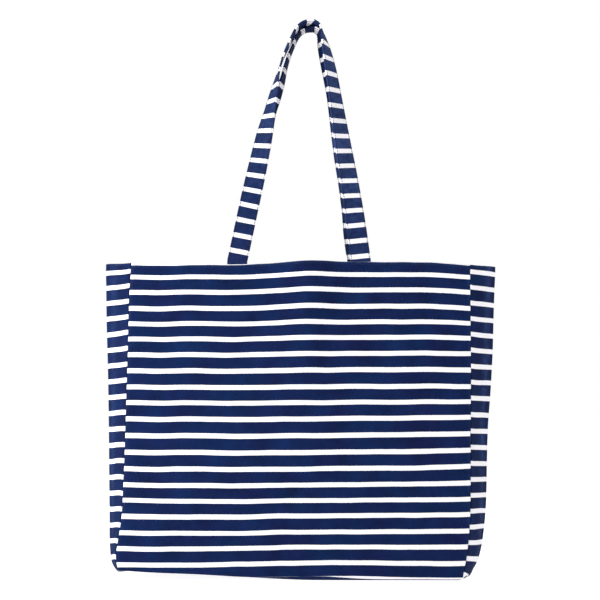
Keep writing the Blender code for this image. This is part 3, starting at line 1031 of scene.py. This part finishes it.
def strap(side):
    """A handle's strap with its two tails inside the hem, and its rows of stitches."""
    sign = SIDE[side]
    flat_line = arch_line(side)
    top = int(np.argmax(flat_line[:, 1]))
    share = flat_line[:, 1] / HANDLE_RISE
    on_right = np.arange(len(share)) > top
    turned = np.where(on_right, TURNED_RIGHT(share), TURNED_LEFT(share))
    foot = np.array([0, sign * (-HANDLE_AXIS[1] - STRAP_BEHIND_AXIS), HANDLE_AXIS[2] + STRAP_FOOT])
    lean = math.atan((abs(foot[1]) - HANDLES_APART / 2) / HANDLE_RISE)
    across_bag = np.array([1.0, 0, 0])
    upright = np.array([0, -sign * math.sin(lean), math.cos(lean)])
    facing = np.array([0, sign * math.cos(lean), math.sin(lean)])
    centre = foot + flat_line[:, :1] * across_bag + flat_line[:, 1:] * upright
    centre[:, 0] += np.where(on_right, SWAY["right"](share), SWAY["left"](share))
    if side == "back":
        centre[:, 0] += np.where(on_right, BACK_SHIFT["right"](share), BACK_SHIFT["left"](share))
    centre[:, 1] += sign * 0.0012 * np.sin(share * 9 + 1.3 * on_right) * ease(share, 0, 0.2)

    run = unit(np.gradient(flat_line, axis=0))
    outward = -run[:, 1:] * across_bag + run[:, :1] * upright
    angle = np.radians(turned)[:, None]
    face = np.cos(angle) * facing + np.sin(angle) * outward
    edge = np.cos(angle) * outward - np.sin(angle) * facing

    tail = np.arange(STRAP_TAIL, 0, -0.002)[:, None]
    down = np.array([0, -sign * LEAN, 1.0])
    down /= np.linalg.norm(down)
    head, foot_end = centre[0] - down * tail, (centre[-1] - down * tail)[::-1]
    centre = np.concatenate([head, centre, foot_end])
    face = np.concatenate([np.tile(face[0], (len(tail), 1)), face, np.tile(face[-1], (len(tail), 1))])
    edge = np.concatenate([np.tile(edge[0], (len(tail), 1)), edge, np.tile(edge[-1], (len(tail), 1))])
    centre, face, edge = resample(0.0024, centre, face, edge)
    for _ in range(3):
        face[1:-1] = (face[:-2] + face[1:-1] + face[2:]) / 3
        edge[1:-1] = (edge[:-2] + edge[1:-1] + edge[2:]) / 3
    tangent = unit(np.gradient(centre, axis=0))
    face = unit(face - (face * tangent).sum(1, keepdims=True) * tangent)
    edge = unit(edge - (edge * tangent).sum(1, keepdims=True) * tangent)
    edge = unit(edge - (edge * face).sum(1, keepdims=True) * face)

    profile = rounded_band(STRAP_WIDTH, STRAP_THICKNESS, 0.0009, rows=(-STRAP_ROW, STRAP_ROW))
    rise = (centre[:, 2] - foot[2]) / HANDLE_RISE
    # Painted light: the strap is paler higher up its legs and more on the right leg, then eased back near the top.
    left_painted_light = 0.30 + 0.48 * ease(rise, 0.1, 0.6)
    right_painted_light = 0.55 + 0.85 * ease(rise, 0.1, 0.5)
    rubbed_and_painted_light = left_painted_light + (right_painted_light - left_painted_light) * ease(centre[:, 0], ARCH[2][0] - 0.01, ARCH[2][0] + 0.01)
    rubbed_and_painted_light += (0.35 - rubbed_and_painted_light) * ease(rise, 0.88, 0.97)
    # Painted shade: the back strap loses its painted light over its upper part, where it lies in shadow inside the
    # front one.
    if side == "back":
        rubbed_and_painted_light *= 1 - ease(rise, 0.55, 0.70)
    # Its edges are paler still, from rubbing and painted light.
    wear_and_painted_light = rubbed_and_painted_light[:, None] + 0.3 * ease(np.abs(profile[:, 0]), 0.0112, 0.0125)
    along = arc_length(centre)
    stripes = along * STRAP_STRETCH + strap_phase(side) - STRIPE_SLIP[side](along[-1] - along)
    piece = sweep(f"{side}_handle_strap", centre, edge, face, profile, stripes, CANVAS, wear_and_painted_light)
    blend_handle(piece)
    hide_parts(f"{side}_handle", f"{side}_left_strap_end", f"{side}_right_strap_end")

    rows = []
    for place in (-STRAP_ROW, STRAP_ROW):
        for way in (-1, 1):
            surface = STRAP_THICKNESS / 2 - 0.00018
            rows.append((centre + edge * place + face * way * surface, face * way))
    thread = stitches(f"{side}_handle_stitching", rows, NAVY_THREAD, STRAP_THREAD)
    blend_handle(thread)


def strap_phase(side):
    """Where a strap's stripes begin, from the end of its left tail."""
    return {"front": -0.0007, "back": 0.0043}[side]


def blend_handle(piece):
    """Bakes a handle piece's placement into its mesh."""
    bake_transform(piece)


def tail_rows(side, x):
    """The hem's two rows where they run over a strap's tail, on its inner face."""
    places = np.linspace(x - STRAP_WIDTH / 2 + 0.001, x + STRAP_WIDTH / 2 - 0.001, 20)
    sign = SIDE[side]
    rows = []
    for down in (EDGE_ROW, HEM_ROW):
        z = RIM - down + 0 * places
        inner = half_depth(z) - 0.0050 - 0.00005
        points = np.stack([places, sign * inner, z], axis=-1)
        rows.append((points, np.tile([0.0, -sign, 0.0], (len(places), 1))))
    return rows


# ---------------------------------------------------------------- the scene


def area_light(name, place, aim, size, power, colour=(1, 1, 1)):
    """A square soft light that shines towards a point."""
    light = bpy.data.lights.new(name, "AREA")
    light.energy = power
    light.size = size
    light.color = colour
    obj = bpy.data.objects.new(name, light)
    obj.location = place
    obj.visible_camera = False
    direction = np.array(aim, float) - np.array(place, float)
    flat = math.hypot(direction[0], direction[1])
    obj.rotation_euler = (math.pi / 2 + math.atan2(direction[2], flat), 0, math.atan2(-direction[0], direction[1]))
    bpy.context.scene.collection.objects.link(obj)


def studio():
    """The camera, a white surround, soft lights and a pale floor."""
    scene = bpy.context.scene
    camera = bpy.data.objects.new("camera", bpy.data.cameras.new("camera"))
    camera.data.lens = 83.04
    camera.data.sensor_width = 36
    camera.location = (0.0012, -1.74, 0.18)
    camera.rotation_euler = (math.radians(95.4), 0, 0)
    scene.collection.objects.link(camera)
    scene.camera = camera
    scene.view_settings.view_transform = "Standard"

    world = bpy.data.worlds.new("white_surround")
    world.use_nodes = True
    tree = world.node_tree
    background = tree.nodes["Background"]
    rays = tree.nodes.new("ShaderNodeLightPath")
    strength = tree.nodes.new("ShaderNodeMapRange")
    strength.inputs[3].default_value = 0.36
    strength.inputs[4].default_value = 1.0
    tree.links.new(rays.outputs["Is Camera Ray"], strength.inputs[0])
    tree.links.new(strength.outputs[0], background.inputs[1])
    background.inputs[0].default_value = (1, 1, 1, 1)
    scene.world = world

    area_light("key_light", (-1.10, -0.75, 0.45), (-0.05, 0, 0.22), 0.6, 24)
    area_light("fill_light", (0.25, -0.85, 1.15), (0, 0, 0.55), 0.8, 4)
    area_light("right_light", (1.5, -0.35, 0.35), (0.2, 0, 0.25), 0.7, 7)
    area_light("back_light", (0.6, 1.9, 1.5), (0, 0, 0.25), 1.4, 14)

    mesh = bpy.data.meshes.new("pale_floor")
    reach = 30.0
    mesh.from_pydata([(-reach, -reach, 0), (reach, -reach, 0), (reach, reach, 0), (-reach, reach, 0)], [], [(0, 1, 2, 3)])
    mesh.materials.append(floor_material())
    floor = bpy.data.objects.new("pale_floor", mesh)
    scene.collection.objects.link(floor)


studio()
for side in SIDE:
    panel_cloth(side)
    panel_stitches(side)
    strap(side)
    for hand in HAND:
        gusset_half(hand, side)
        gusset_stitches(hand, side)
        binding(side, hand)
base_cloth()
base_binding("base_front_seam_binding", (-0.203, -0.0436), (0.192, -0.0436), (0, 1))
base_binding("base_back_seam_binding", (-0.200, 0.0436), (0.196, 0.0436), (0, -1))
base_binding("base_left_seam_binding", (-0.2065, -0.037), (-0.2065, 0.037), (1, 0))
base_binding("base_right_seam_binding", (0.1970, -0.037), (0.1970, 0.037), (-1, 0))
